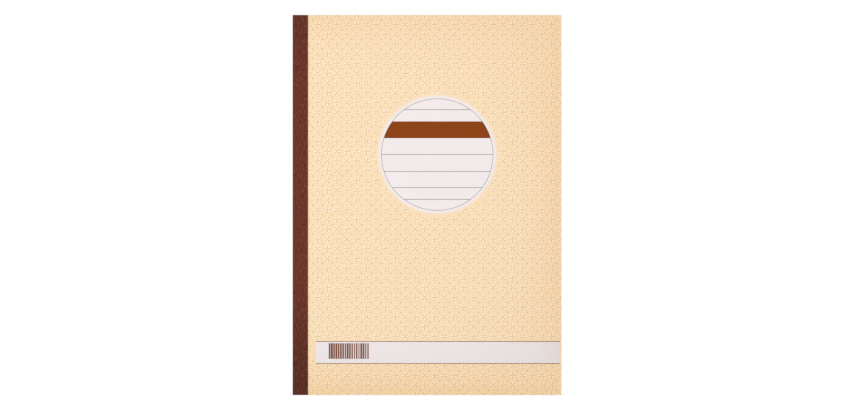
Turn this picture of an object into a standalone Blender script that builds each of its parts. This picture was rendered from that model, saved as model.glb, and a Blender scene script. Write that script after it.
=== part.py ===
"""Duplicate order book, A4: fifty sets of one original and one copy, stapled at the side and taped.

Metres, +Z up. The book lies flat with its front cover up. The spine is at -X, the fore-edge at +X, the head at +Y.
The leaves are split from their bound margins along one crease beside the tape, which is their common hinge line.
"""

import bmesh
import bpy
from mathutils import Vector

MM = 0.001

# Trimmed size of the closed book
BOOK_WIDTH = 210.0 * MM
BOOK_HEIGHT = 297.0 * MM

# Paper, card and board
SHEET_THICKNESS = 0.07 * MM
COVER_THICKNESS = 0.40 * MM
BOARD_THICKNESS = 1.00 * MM
SHIELD_THICKNESS = 0.35 * MM

# Sets of one original and one copy
SETS_IN_BOOK = 50
SETS_IN_GROUP = 7
SHEETS_IN_SET = 2

# Book cloth tape round the spine
TAPE_THICKNESS = 0.25 * MM
TAPE_ON_FRONT = 12.0 * MM
TAPE_ON_BACK = 12.0 * MM
TAPE_BEND_STEPS = 5

# Glue on the spine, and the clearances between bound pieces and between loose ones
GLUE_THICKNESS = 0.30 * MM
PRESSED_GAP = 0.05 * MM
LOOSE_GAP = 0.10 * MM
CREASE_GAP = 0.60 * MM

# Flat-wire staples, whose crowns lie under the front of the tape and whose legs are clinched under its back
STAPLE_NAMES = ("head", "middle", "foot")
STAPLE_FROM_END = 43.5 * MM
STAPLE_CROWN = 13.0 * MM
STAPLE_CLINCH = 5.0 * MM
WIRE_WIDTH = 0.60 * MM
WIRE_THICKNESS = 0.30 * MM
WIRE_BEND_RADIUS = 0.25 * MM
WIRE_BEND_STEPS = 3
WIRE_CLEARANCE = 0.05 * MM

# Tear line across the original: slits with short ties of paper between them
TEAR_LINE_FROM_CREASE = 5.0 * MM
SLIT_LENGTH = 2.00 * MM
SLIT_WIDTH = 0.50 * MM
TIE_LENGTH = 0.50 * MM
TIE_GAP = 0.10 * MM

# The loose writing shield is cut smaller than the sheets, and stops where they rise from the crease
SHIELD_SHORT_OF_CREASE = 1.2 * MM
SHIELD_SHORT_OF_FORE_EDGE = 2.0 * MM
SHIELD_SHORT_OF_HEAD = 3.0 * MM

# How large the empties on the joints' axes are drawn
PIVOT_SIZE = 10.0 * MM

# Colours, roughness and metallic of what the pieces are made of
MATERIALS = {
    "cream card": ((0.92, 0.72, 0.48), 0.55, 0.0),
    "brown book cloth": ((0.150, 0.040, 0.022), 0.75, 0.0),
    "grey board": ((0.45, 0.40, 0.34), 0.80, 0.0),
    "white paper": ((0.88, 0.87, 0.84), 0.70, 0.0),
    "yellow paper": ((0.87, 0.76, 0.38), 0.70, 0.0),
    "edge of the sets": ((0.86, 0.82, 0.62), 0.75, 0.0),
    "buff card": ((0.72, 0.58, 0.38), 0.70, 0.0),
    "clear glue": ((0.75, 0.68, 0.50), 0.35, 0.0),
    "steel wire": ((0.60, 0.60, 0.60), 0.30, 1.0),
}

# Places across the book: spine side, tape edge, crease and fore-edge
SPINE_X = -BOOK_WIDTH / 2
FORE_EDGE_X = BOOK_WIDTH / 2
BOUND_X = SPINE_X + TAPE_THICKNESS + 2 * PRESSED_GAP + GLUE_THICKNESS
MARGIN_EDGE_X = SPINE_X + TAPE_ON_FRONT
CREASE_X = MARGIN_EDGE_X + CREASE_GAP / 2
LEAF_EDGE_X = MARGIN_EDGE_X + CREASE_GAP
TEAR_LINE_X = CREASE_X + TEAR_LINE_FROM_CREASE
STAPLE_X = SPINE_X + TAPE_ON_FRONT / 2

# The tape bends round the glued edge of the bound pieces
TAPE_BEND_RADIUS = BOUND_X - SPINE_X - TAPE_THICKNESS

# Heights, from the table up: the board and the groups of sets, then the bound margins and the leaves apart
BOARD_RECESS = TAPE_THICKNESS + PRESSED_GAP
GROUP_COUNT = (SETS_IN_BOOK - 1) // SETS_IN_GROUP
GROUP_THICKNESS = SETS_IN_GROUP * SHEETS_IN_SET * SHEET_THICKNESS
GROUP_STEP = GROUP_THICKNESS + PRESSED_GAP
SETS_TOP = BOARD_THICKNESS + GROUP_COUNT * GROUP_STEP

COPY_MARGIN_Z = SETS_TOP + PRESSED_GAP
ORIGINAL_MARGIN_Z = COPY_MARGIN_Z + SHEET_THICKNESS + PRESSED_GAP
COVER_MARGIN_Z = ORIGINAL_MARGIN_Z + SHEET_THICKNESS + PRESSED_GAP
MARGIN_TOP = COVER_MARGIN_Z + COVER_THICKNESS
TAPE_TOP = MARGIN_TOP + PRESSED_GAP + TAPE_THICKNESS

SHIELD_Z = SETS_TOP + LOOSE_GAP
COPY_Z = SHIELD_Z + SHIELD_THICKNESS + LOOSE_GAP
ORIGINAL_Z = COPY_Z + SHEET_THICKNESS + LOOSE_GAP
COVER_Z = ORIGINAL_Z + SHEET_THICKNESS + LOOSE_GAP
COVER_TOP = COVER_Z + COVER_THICKNESS
HINGE_Z = max(COVER_TOP, TAPE_TOP)


def clear_scene():
    for old in list(bpy.data.objects):
        bpy.data.objects.remove(old, do_unlink=True)


def new_collection(name, parent):
    made = bpy.data.collections.new(name)
    parent.children.link(made)
    return made


def material_for(name, kind):
    """Each piece has a material of its own, in the colour of what it is made of."""
    colour, roughness, metallic = MATERIALS[kind]
    material = bpy.data.materials.new(name)
    material.use_nodes = True
    shader = material.node_tree.nodes["Principled BSDF"]
    shader.inputs["Base Color"].default_value = (*colour, 1.0)
    shader.inputs["Roughness"].default_value = roughness
    shader.inputs["Metallic"].default_value = metallic
    material.diffuse_color = (*colour, 1.0)
    return material


def place(obj, collection, location, parent=None):
    """Links an object at a place in the world, carried by its parent."""
    collection.objects.link(obj)
    obj.location = location
    if parent:
        bpy.context.view_layer.update()
        obj.parent = parent
        obj.location -= parent.matrix_world.translation
    return obj


def pivot(name, collection, location, parent=None):
    """An empty on a joint's axis, which carries the pieces that move about it."""
    empty = bpy.data.objects.new(name, None)
    empty.empty_display_size = PIVOT_SIZE
    return place(empty, collection, location, parent)


def box_mesh(name, size):
    mesh = bpy.data.meshes.new(name)
    work = bmesh.new()
    bmesh.ops.create_cube(work, size=1.0)
    bmesh.ops.scale(work, vec=size, verts=work.verts)
    work.to_mesh(mesh)
    work.free()
    return mesh


def plate(name, collection, x_range, z_range, kind, y_range=None, parent=None):
    """A flat piece between two places across the book and two heights, at full height of the book by default."""
    y_range = y_range or (-BOOK_HEIGHT / 2, BOOK_HEIGHT / 2)
    spans = (x_range, y_range, z_range)
    size = [high - low for low, high in spans]
    middle = [(high + low) / 2 for low, high in spans]
    obj = bpy.data.objects.new(name, box_mesh(name, size))
    if kind:
        obj.data.materials.append(material_for(name, kind))
    return place(obj, collection, middle, parent)


def folded_strip(name, collection, paths, run, width, thickness, bend, steps, offset):
    """A strip folded along one or more open paths, drawn out along an axis: rounded folds, then thickness.

    The paths run through the middle of the width. Thickness goes to both sides of the path with offset 0, and to
    one side of it with offset 1 or -1.
    """
    mesh = bpy.data.meshes.new(name)
    work = bmesh.new()
    for path in paths:
        corners = [work.verts.new(Vector(point) - Vector(run) * width / 2) for point in path]
        edges = [work.edges.new(pair) for pair in zip(corners, corners[1:])]
        drawn = bmesh.ops.extrude_edge_only(work, edges=edges)["geom"]
        moved = [item for item in drawn if isinstance(item, bmesh.types.BMVert)]
        bmesh.ops.translate(work, vec=Vector(run) * width, verts=moved)
    bmesh.ops.recalc_face_normals(work, faces=work.faces)
    work.to_mesh(mesh)
    work.free()
    obj = place(bpy.data.objects.new(name, mesh), collection, (0.0, 0.0, 0.0))

    folds = obj.modifiers.new("rounded folds", "BEVEL")
    folds.width = bend
    folds.segments = steps
    folds.limit_method = "ANGLE"
    shell = obj.modifiers.new("thickness", "SOLIDIFY")
    shell.thickness = thickness
    shell.offset = offset
    shell.use_even_offset = True
    return obj


def cut(obj, cutter, name):
    boolean = obj.modifiers.new(name, "BOOLEAN")
    boolean.operation = "DIFFERENCE"
    boolean.solver = "EXACT"
    boolean.object = cutter


def as_cutter(obj):
    obj.hide_render = True
    obj.display_type = "WIRE"
    return obj


def staple_path(centre_y, longer=0.0):
    """From one clinched tip, down the clinch, up a leg, along the crown and back to the other tip."""
    leg_low = centre_y - STAPLE_CROWN / 2
    leg_high = centre_y + STAPLE_CROWN / 2
    crown_z = MARGIN_TOP - WIRE_THICKNESS / 2
    clinch_z = BOARD_RECESS + WIRE_THICKNESS / 2
    reach = STAPLE_CLINCH + longer
    return [
        (STAPLE_X, leg_low + reach, clinch_z),
        (STAPLE_X, leg_low, clinch_z),
        (STAPLE_X, leg_low, crown_z),
        (STAPLE_X, leg_high, crown_z),
        (STAPLE_X, leg_high, clinch_z),
        (STAPLE_X, leg_high - reach, clinch_z),
    ]


def staple_places():
    """The outer staples at their distance from the head and the foot, the others spread evenly between them."""
    first_y = BOOK_HEIGHT / 2 - STAPLE_FROM_END
    spacing = 2 * first_y / (len(STAPLE_NAMES) - 1)
    return {name: first_y - index * spacing for index, name in enumerate(STAPLE_NAMES)}


def staples(collection):
    for name, centre_y in staple_places().items():
        wire = folded_strip(
            "staple_" + name, collection, [staple_path(centre_y)], (1, 0, 0),
            WIRE_WIDTH, WIRE_THICKNESS, WIRE_BEND_RADIUS, WIRE_BEND_STEPS, 0.0,
        )
        wire.data.materials.append(material_for(wire.name, "steel wire"))


def staple_clearance(cutters):
    """The staples' own shape with clearance all round, which cuts their grooves and leg holes."""
    paths = [staple_path(centre_y, WIRE_CLEARANCE) for centre_y in staple_places().values()]
    return as_cutter(folded_strip(
        "staple_clearance", cutters, paths, (1, 0, 0),
        WIRE_WIDTH + 2 * WIRE_CLEARANCE, WIRE_THICKNESS + 2 * WIRE_CLEARANCE,
        WIRE_BEND_RADIUS, WIRE_BEND_STEPS, 0.0,
    ))


def tear_slits(cutters):
    """A row of slits along the tear line, long enough in Z to cut the sheet through."""
    pitch = SLIT_LENGTH + TIE_LENGTH
    count = int(BOOK_HEIGHT / pitch)
    first_y = -(count - 1) * pitch / 2
    slit = bpy.data.objects.new(
        "tear_slits", box_mesh("tear_slits", (SLIT_WIDTH, SLIT_LENGTH, 4 * SHEET_THICKNESS))
    )
    place(slit, cutters, (TEAR_LINE_X, first_y, ORIGINAL_Z + SHEET_THICKNESS / 2))
    row = slit.modifiers.new("row of slits", "ARRAY")
    row.count = count
    row.use_relative_offset = False
    row.use_constant_offset = True
    row.constant_offset_displace = (0.0, pitch, 0.0)
    return as_cutter(slit)


def spine_tape(collection):
    """Cloth folded round the glued spine, from the front cover's edge to the recess in the back board."""
    inner_x = SPINE_X + TAPE_THICKNESS
    inner_low = TAPE_THICKNESS
    inner_high = TAPE_TOP - TAPE_THICKNESS
    path = [
        (SPINE_X + TAPE_ON_BACK, 0.0, inner_low),
        (inner_x, 0.0, inner_low),
        (inner_x, 0.0, inner_high),
        (MARGIN_EDGE_X, 0.0, inner_high),
    ]
    tape = folded_strip(
        "spine_tape", collection, [path], (0, 1, 0), BOOK_HEIGHT, TAPE_THICKNESS,
        TAPE_BEND_RADIUS, TAPE_BEND_STEPS, 1.0,
    )
    tape.data.materials.append(material_for(tape.name, "brown book cloth"))


def spine_glue(collection):
    """A film of glue on the spine, between the bends of the tape."""
    low_z = TAPE_THICKNESS + TAPE_BEND_RADIUS
    high_z = TAPE_TOP - TAPE_THICKNESS - TAPE_BEND_RADIUS
    inner_x = SPINE_X + TAPE_THICKNESS + PRESSED_GAP
    plate("spine_glue", collection, (inner_x, inner_x + GLUE_THICKNESS), (low_z, high_z), "clear glue")


def back_cover(collection, cutters, staple_cutter):
    """A plain board, pressed thinner under the back of the tape so that the two lie flush."""
    board = plate("back_cover", collection, (BOUND_X, FORE_EDGE_X), (0.0, BOARD_THICKNESS), "grey board")
    edge_x = SPINE_X + TAPE_ON_BACK + CREASE_GAP / 2
    overlap = BOARD_THICKNESS
    recess = as_cutter(plate(
        "tape_recess", cutters, (SPINE_X, edge_x), (-overlap, BOARD_RECESS), None,
        (-BOOK_HEIGHT / 2 - overlap, BOOK_HEIGHT / 2 + overlap),
    ))
    cut(board, recess, "recess for the tape")
    cut(board, staple_cutter, "staple legs and clinches")


def grouped_sets(collection, staple_cutter):
    """Every set but the first, in groups as thick as their sheets; the lowest group holds the last sets."""
    for index in range(GROUP_COUNT):
        last_set = SETS_IN_BOOK - index * SETS_IN_GROUP
        first_set = last_set - SETS_IN_GROUP + 1
        bottom = BOARD_THICKNESS + PRESSED_GAP + index * GROUP_STEP
        group = plate(
            f"sets_{first_set:02d}_to_{last_set:02d}", collection, (BOUND_X, FORE_EDGE_X),
            (bottom, bottom + GROUP_THICKNESS), "edge of the sets",
        )
        cut(group, staple_cutter, "staple legs")


def bound_margins(collection, staple_cutter):
    """The strips of the first set and the front cover that stay under the tape."""
    layers = (
        ("copy_1_margin", COPY_MARGIN_Z, SHEET_THICKNESS, "yellow paper"),
        ("original_1_margin", ORIGINAL_MARGIN_Z, SHEET_THICKNESS, "white paper"),
        ("front_cover_margin", COVER_MARGIN_Z, COVER_THICKNESS, "cream card"),
    )
    for name, bottom, thickness, kind in layers:
        margin = plate(name, collection, (BOUND_X, MARGIN_EDGE_X), (bottom, bottom + thickness), kind)
        cut(margin, staple_cutter, "staple crowns and legs")


def writing_shield(collection):
    """A loose card under the first set. It draws out past the fore-edge."""
    half_height = BOOK_HEIGHT / 2 - SHIELD_SHORT_OF_HEAD
    plate(
        "writing_shield", collection,
        (CREASE_X + SHIELD_SHORT_OF_CREASE, FORE_EDGE_X - SHIELD_SHORT_OF_FORE_EDGE),
        (SHIELD_Z, SHIELD_Z + SHIELD_THICKNESS), "buff card", (-half_height, half_height),
    )


def turning_leaves(collection, slit_cutter):
    """The copy, the original and the front cover, each hinged to the leaf below it on the crease."""
    crease = (CREASE_X, 0.0, HINGE_Z)
    copy_hinge = pivot("copy_1_hinge", collection, crease)
    original_hinge = pivot("original_1_hinge", collection, crease, copy_hinge)
    cover_hinge = pivot("front_cover_hinge", collection, crease, original_hinge)

    plate(
        "copy_1", collection, (LEAF_EDGE_X, FORE_EDGE_X), (COPY_Z, COPY_Z + SHEET_THICKNESS),
        "yellow paper", None, copy_hinge,
    )
    original_z = (ORIGINAL_Z, ORIGINAL_Z + SHEET_THICKNESS)
    strip = plate(
        "original_1_strip", collection, (LEAF_EDGE_X, TEAR_LINE_X - TIE_GAP / 2), original_z,
        "white paper", None, original_hinge,
    )
    sheet = plate(
        "original_1_sheet", collection, (TEAR_LINE_X + TIE_GAP / 2, FORE_EDGE_X), original_z,
        "white paper", None, original_hinge,
    )
    for side in (strip, sheet):
        cut(side, slit_cutter, "slits of the tear line")
    plate(
        "front_cover", collection, (LEAF_EDGE_X, FORE_EDGE_X), (COVER_Z, COVER_TOP),
        "cream card", None, cover_hinge,
    )


def build():
    clear_scene()
    book = new_collection("duplicate order book", bpy.context.scene.collection)
    cutters = new_collection("cutters", bpy.context.scene.collection)

    staple_cutter = staple_clearance(cutters)
    slit_cutter = tear_slits(cutters)

    back_cover(book, cutters, staple_cutter)
    grouped_sets(book, staple_cutter)
    bound_margins(book, staple_cutter)
    spine_tape(book)
    spine_glue(book)
    staples(book)
    writing_shield(book)
    turning_leaves(book, slit_cutter)


build()
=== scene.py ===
"""Duplicate order book: the looks of its cover, tape, sheets and board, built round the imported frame.

Lengths are in metres. +X runs from the spine to the fore-edge, +Y to the head, +Z up out of the front cover.
"""

import math

import bmesh
import bpy
from bpy.props import FloatProperty, FloatVectorProperty, IntProperty, PointerProperty
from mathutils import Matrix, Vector


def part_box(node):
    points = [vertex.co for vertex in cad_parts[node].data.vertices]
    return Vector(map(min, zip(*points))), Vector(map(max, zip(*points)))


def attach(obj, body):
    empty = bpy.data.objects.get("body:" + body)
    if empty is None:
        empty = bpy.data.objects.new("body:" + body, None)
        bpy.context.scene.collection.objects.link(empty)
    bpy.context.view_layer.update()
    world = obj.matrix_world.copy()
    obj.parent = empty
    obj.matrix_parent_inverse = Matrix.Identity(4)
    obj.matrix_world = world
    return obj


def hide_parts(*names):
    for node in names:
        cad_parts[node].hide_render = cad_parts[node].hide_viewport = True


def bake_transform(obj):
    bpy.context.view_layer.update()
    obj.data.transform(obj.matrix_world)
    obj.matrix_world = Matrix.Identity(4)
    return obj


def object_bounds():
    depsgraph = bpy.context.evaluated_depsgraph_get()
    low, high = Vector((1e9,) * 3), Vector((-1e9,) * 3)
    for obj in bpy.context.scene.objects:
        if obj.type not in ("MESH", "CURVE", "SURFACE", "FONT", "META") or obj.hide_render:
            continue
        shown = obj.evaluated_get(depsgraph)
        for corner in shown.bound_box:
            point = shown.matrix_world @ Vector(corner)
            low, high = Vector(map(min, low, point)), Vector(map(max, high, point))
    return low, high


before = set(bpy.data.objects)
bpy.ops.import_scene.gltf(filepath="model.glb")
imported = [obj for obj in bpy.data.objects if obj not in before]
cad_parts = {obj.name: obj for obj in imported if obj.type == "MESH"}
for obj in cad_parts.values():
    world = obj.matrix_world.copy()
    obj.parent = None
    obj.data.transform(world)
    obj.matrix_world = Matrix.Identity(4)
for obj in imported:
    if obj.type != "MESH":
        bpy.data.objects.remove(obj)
CAD_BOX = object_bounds()

bl_info = {
    "name": "Duplicate order book",
    "version": (1, 0, 0),
    "blender": (4, 5, 0),
    "location": "View3D > Sidebar > Order book",
    "description": "Dresses a duplicate order book: printed cover, cloth tape, sheets and board",
    "category": "Object",
}

MM = 0.001

# The bodies that the pieces ride on
BINDING = "binding"
COPY = "copy_1"
ORIGINAL = "original_1"
TORN_SHEET = "original_1_sheet"
COVER = "front_cover"

# Places read from the frame
COVER_LOW, COVER_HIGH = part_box("front_cover")
COVER_MARGIN_LOW, COVER_MARGIN_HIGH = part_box("front_cover_margin")
COPY_LOW, COPY_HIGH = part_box("copy_1")
COPY_MARGIN_LOW, COPY_MARGIN_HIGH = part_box("copy_1_margin")
ORIGINAL_LOW, ORIGINAL_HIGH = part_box("original_1_sheet")
ORIGINAL_MARGIN_LOW, ORIGINAL_MARGIN_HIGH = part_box("original_1_margin")
STRIP_LOW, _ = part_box("original_1_strip")
TAPE_LOW, TAPE_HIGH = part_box("spine_tape")
HEAD_Y = COVER_HIGH.y
FORE_EDGE_X = COVER_HIGH.x

# The crease: where a leaf starts to bend beside the tape, and where each of the three hinges hands over
BEND_START_X = TAPE_HIGH.x - 0.3 * MM
COPY_BEND_END_X = BEND_START_X + 0.35 * MM
ORIGINAL_BEND_END_X = COPY_BEND_END_X + 0.45 * MM
COVER_BEND_END_X = ORIGINAL_BEND_END_X + 1.2 * MM
BEND_STEP = 0.1 * MM

# Ink lies on card and paper as a thin closed film, so a printed edge stays sharp. On the cover, the
# ornament starts in the first layer, the label and the strip fill all but the last, and their rules lie last.
INK_DEPTH = 0.010 * MM
INK_SUNK = 0.004 * MM
ORNAMENT_LAYER = 1
RULE_LAYER = 5
FILL_LAYERS = (ORNAMENT_LAYER, RULE_LAYER - 1)
COVER_FACE_Z = COVER_HIGH.z - RULE_LAYER * INK_DEPTH

# Corners closer than this are one, and an edge at least this steep is shaded as a cut edge
WELD_DISTANCE = 0.0001 * MM
CUT_EDGE_ANGLE = math.radians(40)

# How the printed card changes from its edges inwards: how far, how raggedly and how strongly,
# and how far beyond the fore-edge and the head the change starts. The spine's side is spared.
# The first turns the card towards a darker colour near its head, foot and fore-edge; the second wears it
# towards the unprinted card right at the edge.
EDGE_TONING = (45 * MM, 0.25, 0.85, 6 * MM, 12 * MM)
WEAR = (0.9 * MM, 0.9, 0.75, 0.0, 0.0)
SPARED_SPINE = 100 * MM

# The size of the soft clouds in the colour of paper and card
CLOUD_SIZE = 25 * MM


def srgb(red, green, blue):
    """A colour as it is seen, from 0 to 255, in the linear values that materials hold."""
    def linear(value):
        value /= 255.0
        return value / 12.92 if value <= 0.04045 else ((value + 0.055) / 1.055) ** 2.4
    return linear(red), linear(green), linear(blue)


def smooth(share):
    share = min(max(share, 0.0), 1.0)
    return share * share * (3.0 - 2.0 * share)


# Sizes and colours that a user would change

def length(name, description, default, lowest=0.0):
    return FloatProperty(
        name=name, description=description, default=default, min=lowest, precision=5,
        subtype="DISTANCE", unit="LENGTH",
    )


def place(name, description, default):
    return length(name, description, default, lowest=-1.0)


def colour(name, description, *seen):
    return FloatVectorProperty(
        name=name, description=description, default=srgb(*seen), min=0.0, max=1.0, size=3, subtype="COLOR",
    )


def count(name, description, default):
    return IntProperty(name=name, description=description, default=default, min=1)


class OrderBookCoverSettings(bpy.types.PropertyGroup):
    """The front cover's card and everything printed on it."""

    ground: colour("Ground", "Printed ground of the front cover", 249, 222, 184)
    # A darker, yellower colour that the ground turns to towards the head, foot and fore-edge.
    edge_tone: colour("Aged ground", "Ground towards the head, foot and fore-edge", 239, 202, 155)
    inside: colour("Inside", "Unprinted inside and cut edges of the card", 240, 232, 214)
    petal: colour("Petals", "Pale ink of the ornament's petals", 255, 239, 214)
    shade: colour("Shade", "Ochre ink that shades each petal's lower side", 225, 184, 124)
    stroke: colour("Strokes", "Ochre ink of the strokes and dots between the petals", 213, 170, 111)
    columns: count("Columns", "Columns of ornament between the tape and the fore-edge", 26)
    rows: count("Rows", "Rows of ornament between the head and the foot", 39)
    petal_length: length("Petal length", "Length of one petal", 2.2 * MM)
    petal_width: length("Petal width", "Width of one petal", 1.25 * MM)
    petal_reach: length("Petal reach", "From a floret's middle to a petal's middle", 1.65 * MM)
    shade_offset: length("Shade offset", "How far the shade lies beside its petal, each way", 0.26 * MM)
    stroke_length: length("Stroke length", "Length of one stroke between two petals", 1.6 * MM)
    stroke_width: length("Stroke width", "Width of one stroke", 0.32 * MM)
    stroke_reach: length("Stroke reach", "From a floret's middle to a stroke's middle", 1.25 * MM)
    dot_size: length("Dot size", "Side of the small square dots between the florets", 0.85 * MM)

    paper: colour("Label", "Pale fill of the label", 242, 234, 234)
    rule: colour("Rules", "Grey ink of the label's ring and rules", 98, 90, 94)
    band: colour("Band", "Brown band across the label", 140, 66, 15)
    label_x: place("Label across", "Middle of the label from the middle of the book", 8.0 * MM)
    label_y: place("Label up", "Middle of the label from the middle of the book", 39.41 * MM)
    label_radius: length("Label radius", "Radius of the label's pale fill", 44.2 * MM)
    halo_radius: length("Halo radius", "Radius at which the label's soft edge has faded out", 47.9 * MM)
    ring_radius: length("Ring radius", "Radius of the thin ring round the label", 43.6 * MM)
    ring_width: length("Ring width", "Width of the thin ring", 0.30 * MM)
    rule_width: length("Rule width", "Width of each rule on the label", 0.38 * MM)
    rule_inner: length("Inner rule", "From the label's middle down to its inner rule", 13.2 * MM)
    rule_outer: length("Outer rule", "From the label's middle down to its outer rule", 25.82 * MM)
    rule_last: length("Last rules", "From the label's middle to its first and last rule", 35.06 * MM)
    band_bottom: length("Band bottom", "From the label's middle up to the band's lower edge", 12.83 * MM)
    band_top: length("Band top", "From the label's middle up to the band's upper edge", 25.88 * MM)

    strip_fill: colour("Strip", "Pale fill of the strip near the foot", 240, 232, 233)
    # A darker colour that the strip turns to towards the foot and fore-edge.
    strip_edge_tone: colour("Aged strip", "Fill of the strip towards the fore-edge", 220, 210, 204)
    strip_rule: colour("Strip rules", "Ink along the strip's two long edges", 112, 62, 34)
    bar: colour("Bars", "Brown ink of the block of plain bars", 128, 80, 60)
    strip_rule_width: length("Strip rule width", "Width of the strip's two rules", 0.48 * MM)
    strip_left: place("Strip left", "Spine end of the strip", -86.7 * MM)
    strip_right: place("Strip right", "Fore-edge end of the strip", 103.8 * MM)
    strip_top: place("Strip top", "Upper edge of the strip", -106.68 * MM)
    strip_bottom: place("Strip bottom", "Lower edge of the strip", -123.82 * MM)
    bars: count("Bars", "How many plain bars stand in the block", 18)
    bars_left: place("Bars left", "Spine end of the block of bars", -77.0 * MM)
    bars_right: place("Bars right", "Fore-edge end of the block of bars", -45.2 * MM)
    bars_top: place("Bars top", "Upper end of the bars", -108.0 * MM)
    bars_bottom: place("Bars bottom", "Lower end of the bars", -120.2 * MM)


class OrderBookTapeSettings(bpy.types.PropertyGroup):
    """The book cloth round the spine."""

    cloth: colour("Cloth", "Colour of the book cloth", 108, 48, 29)
    # Also the colour of the painted shade between the threads and towards the foot and head.
    cloth_dark: colour("Cloth, dark", "Colour between the threads and at handled ends", 68, 25, 15)
    # Painted highlight: the lamp's dull sheen on the threads that stand proud, given as a lighter colour.
    cloth_painted_highlight: colour("Cloth, worn", "Dull, lighter colour of threads that stand proud", 168, 124, 112)
    thread_pitch: length("Thread pitch", "Distance between two threads of the weave", 0.42 * MM)
    staple_bulge: length("Staple bulge", "How far the cloth stands proud over a staple's crown", 0.10 * MM)
    bulge_reach: length("Bulge reach", "How far the bulge fades out beside a crown", 1.3 * MM)


class OrderBookSheetSettings(bpy.types.PropertyGroup):
    """The carbonless sheets, their printed form, the shield and the board."""

    original: colour("Original", "White paper of the originals", 244, 243, 240)
    copy: colour("Copy", "Yellow paper of the copies", 246, 228, 160)
    form_ink: colour("Form ink", "Blue-grey ink of the form's rules", 112, 124, 146)
    form_tint: colour("Form tint", "Pale tint behind the form's headings", 222, 228, 236)
    row_pitch: length("Row pitch", "Height of one row of the form", 8.0 * MM)
    rows: count("Rows", "Rows in the form's table", 23)
    rule_width: length("Rule width", "Width of the form's thin rules", 0.22 * MM)
    frame_width: length("Frame width", "Width of the rules round each box", 0.45 * MM)
    trim_scatter: length("Trim scatter", "How unevenly the bound sheets lie at the trimmed edges", 0.10 * MM)
    shield: colour("Shield", "Buff card of the writing shield", 205, 181, 146)
    board: colour("Board", "Grey board of the back cover", 176, 168, 154)


class OrderBookStageSettings(bpy.types.PropertyGroup):
    """The camera and the lights."""

    camera_height: length("Camera height", "Height of the camera above the front cover", 2.4)
    seen_width: length("Seen width", "Width of the view at the front cover", 0.6672)
    lamp_size: length("Lamp size", "Side of the square soft lamp", 0.9)
    lamp_height: length("Lamp height", "Height of the soft lamp above the table", 1.2)
    lamp_x: place("Lamp across", "Place of the soft lamp across the book", -0.15)
    lamp_y: place("Lamp along", "Place of the soft lamp along the book", 0.10)
    lamp_power: FloatProperty(
        name="Lamp power", description="Power of the soft lamp", default=8.6, min=0.0,
        subtype="POWER", unit="POWER",
    )
    surround: FloatProperty(
        name="Surround", description="Strength of the white surroundings as a light", default=0.5,
        min=0.0, max=1.0, subtype="FACTOR",
    )


# Meshes

def piece_from(name, work, *materials):
    """A mesh object at the origin from bmesh work, with its place in its mesh."""
    mesh = bpy.data.meshes.new(name)
    work.to_mesh(mesh)
    work.free()
    for each in materials:
        mesh.materials.append(each)
    obj = bpy.data.objects.new(name, mesh)
    bpy.context.scene.collection.objects.link(obj)
    return obj


def write_plan(obj):
    """Keeps each corner's place on the flat book as a UV map, which stays put when a leaf bends."""
    plan = obj.data.uv_layers.new(name="plan")
    for corner, spot in zip(obj.data.loops, plan.data):
        spot.uv = obj.data.vertices[corner.vertex_index].co.xy


def shade_round(obj):
    """Smooth shading, apart from the cut edges."""
    obj.data.shade_smooth()
    obj.data.set_sharp_from_angle(angle=CUT_EDGE_ANGLE)


def stand_for(nodes):
    """Hides the CAD nodes that a piece takes the place of."""
    if nodes:
        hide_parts(*nodes)


def ride(obj, body, slot, *nodes):
    """Makes a piece move with a body."""
    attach(obj, body)
    stand_for(nodes)


def bend(obj, fixed, turning, first, last, slot, *nodes):
    """Writes a piece's place into its mesh, and hides the CAD nodes that it takes the place of."""
    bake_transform(obj)
    stand_for(nodes)


def print_from(name, work, ink, body, slot):
    """One ink's closed films that ride on a body."""
    obj = piece_from(name, work, material(ink))
    write_plan(obj)
    ride(obj, body, slot)


def add_film(work, z_range, left, bottom, right, top):
    """Adds a thin closed film over a rectangle."""
    low, high = Vector((left, bottom, z_range[0])), Vector((right, top, z_range[1]))
    made = bmesh.ops.create_cube(work, size=1.0)["verts"]
    bmesh.ops.scale(work, vec=high - low, verts=made)
    bmesh.ops.translate(work, vec=(low + high) / 2, verts=made)


def add_rules(work, z_range, width, across=(), up=()):
    """Adds printed rules of one width: across as (left, right, y), and up as (x, bottom, top)."""
    half = width / 2
    for left, right, y in across:
        add_film(work, z_range, left, y - half, right, y + half)
    for x, bottom, top in up:
        add_film(work, z_range, x - half, bottom, x + half, top)


def join_rings(work, near, far):
    """Makes the faces between two closed rings of corners."""
    for corners in zip(near, near[1:] + near[:1], far[1:] + far[:1], far):
        work.faces.new(corners)


def add_ring(work, outline, z):
    return [work.verts.new((x, y, z)) for x, y in outline]


def add_prism(work, outline, z_range):
    """Adds a closed prism over an outline that runs anticlockwise."""
    low, high = (add_ring(work, outline, z) for z in z_range)
    work.faces.new(low[::-1])
    work.faces.new(high)
    join_rings(work, low, high)


def cut_across(work, spot, way, keep_outer=True):
    """Cuts closed bodies at a plane; without keep_outer, what lies beyond goes and the cuts are closed."""
    bmesh.ops.bisect_plane(
        work, geom=work.verts[:] + work.edges[:] + work.faces[:], plane_co=spot, plane_no=way,
        clear_outer=not keep_outer,
    )
    if not keep_outer:
        bmesh.ops.holes_fill(work, edges=[edge for edge in work.edges if edge.is_boundary], sides=0)


def lines_between(first, last, step):
    """Places from first to last, no further apart than step."""
    parts = max(1, math.ceil((last - first) / step - 1e-6))
    return [first + (last - first) * index / parts for index in range(parts + 1)]


def risen_share(x):
    """How far a leaf has risen there from its pressed margin to its loose height."""
    return smooth((x - BEND_START_X) / (COVER_BEND_END_X - BEND_START_X))


def lay_on_rise(work, first, last, drop):
    """Cuts flat work into short steps over the crease, and lays it onto the rise from the margin."""
    for x in lines_between(first, min(last, COVER_BEND_END_X), BEND_STEP)[1:]:
        if x < last:
            cut_across(work, (x, 0, 0), (1, 0, 0))
    for vert in work.verts:
        vert.co.z += (risen_share(vert.co.x) - 1.0) * drop


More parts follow.
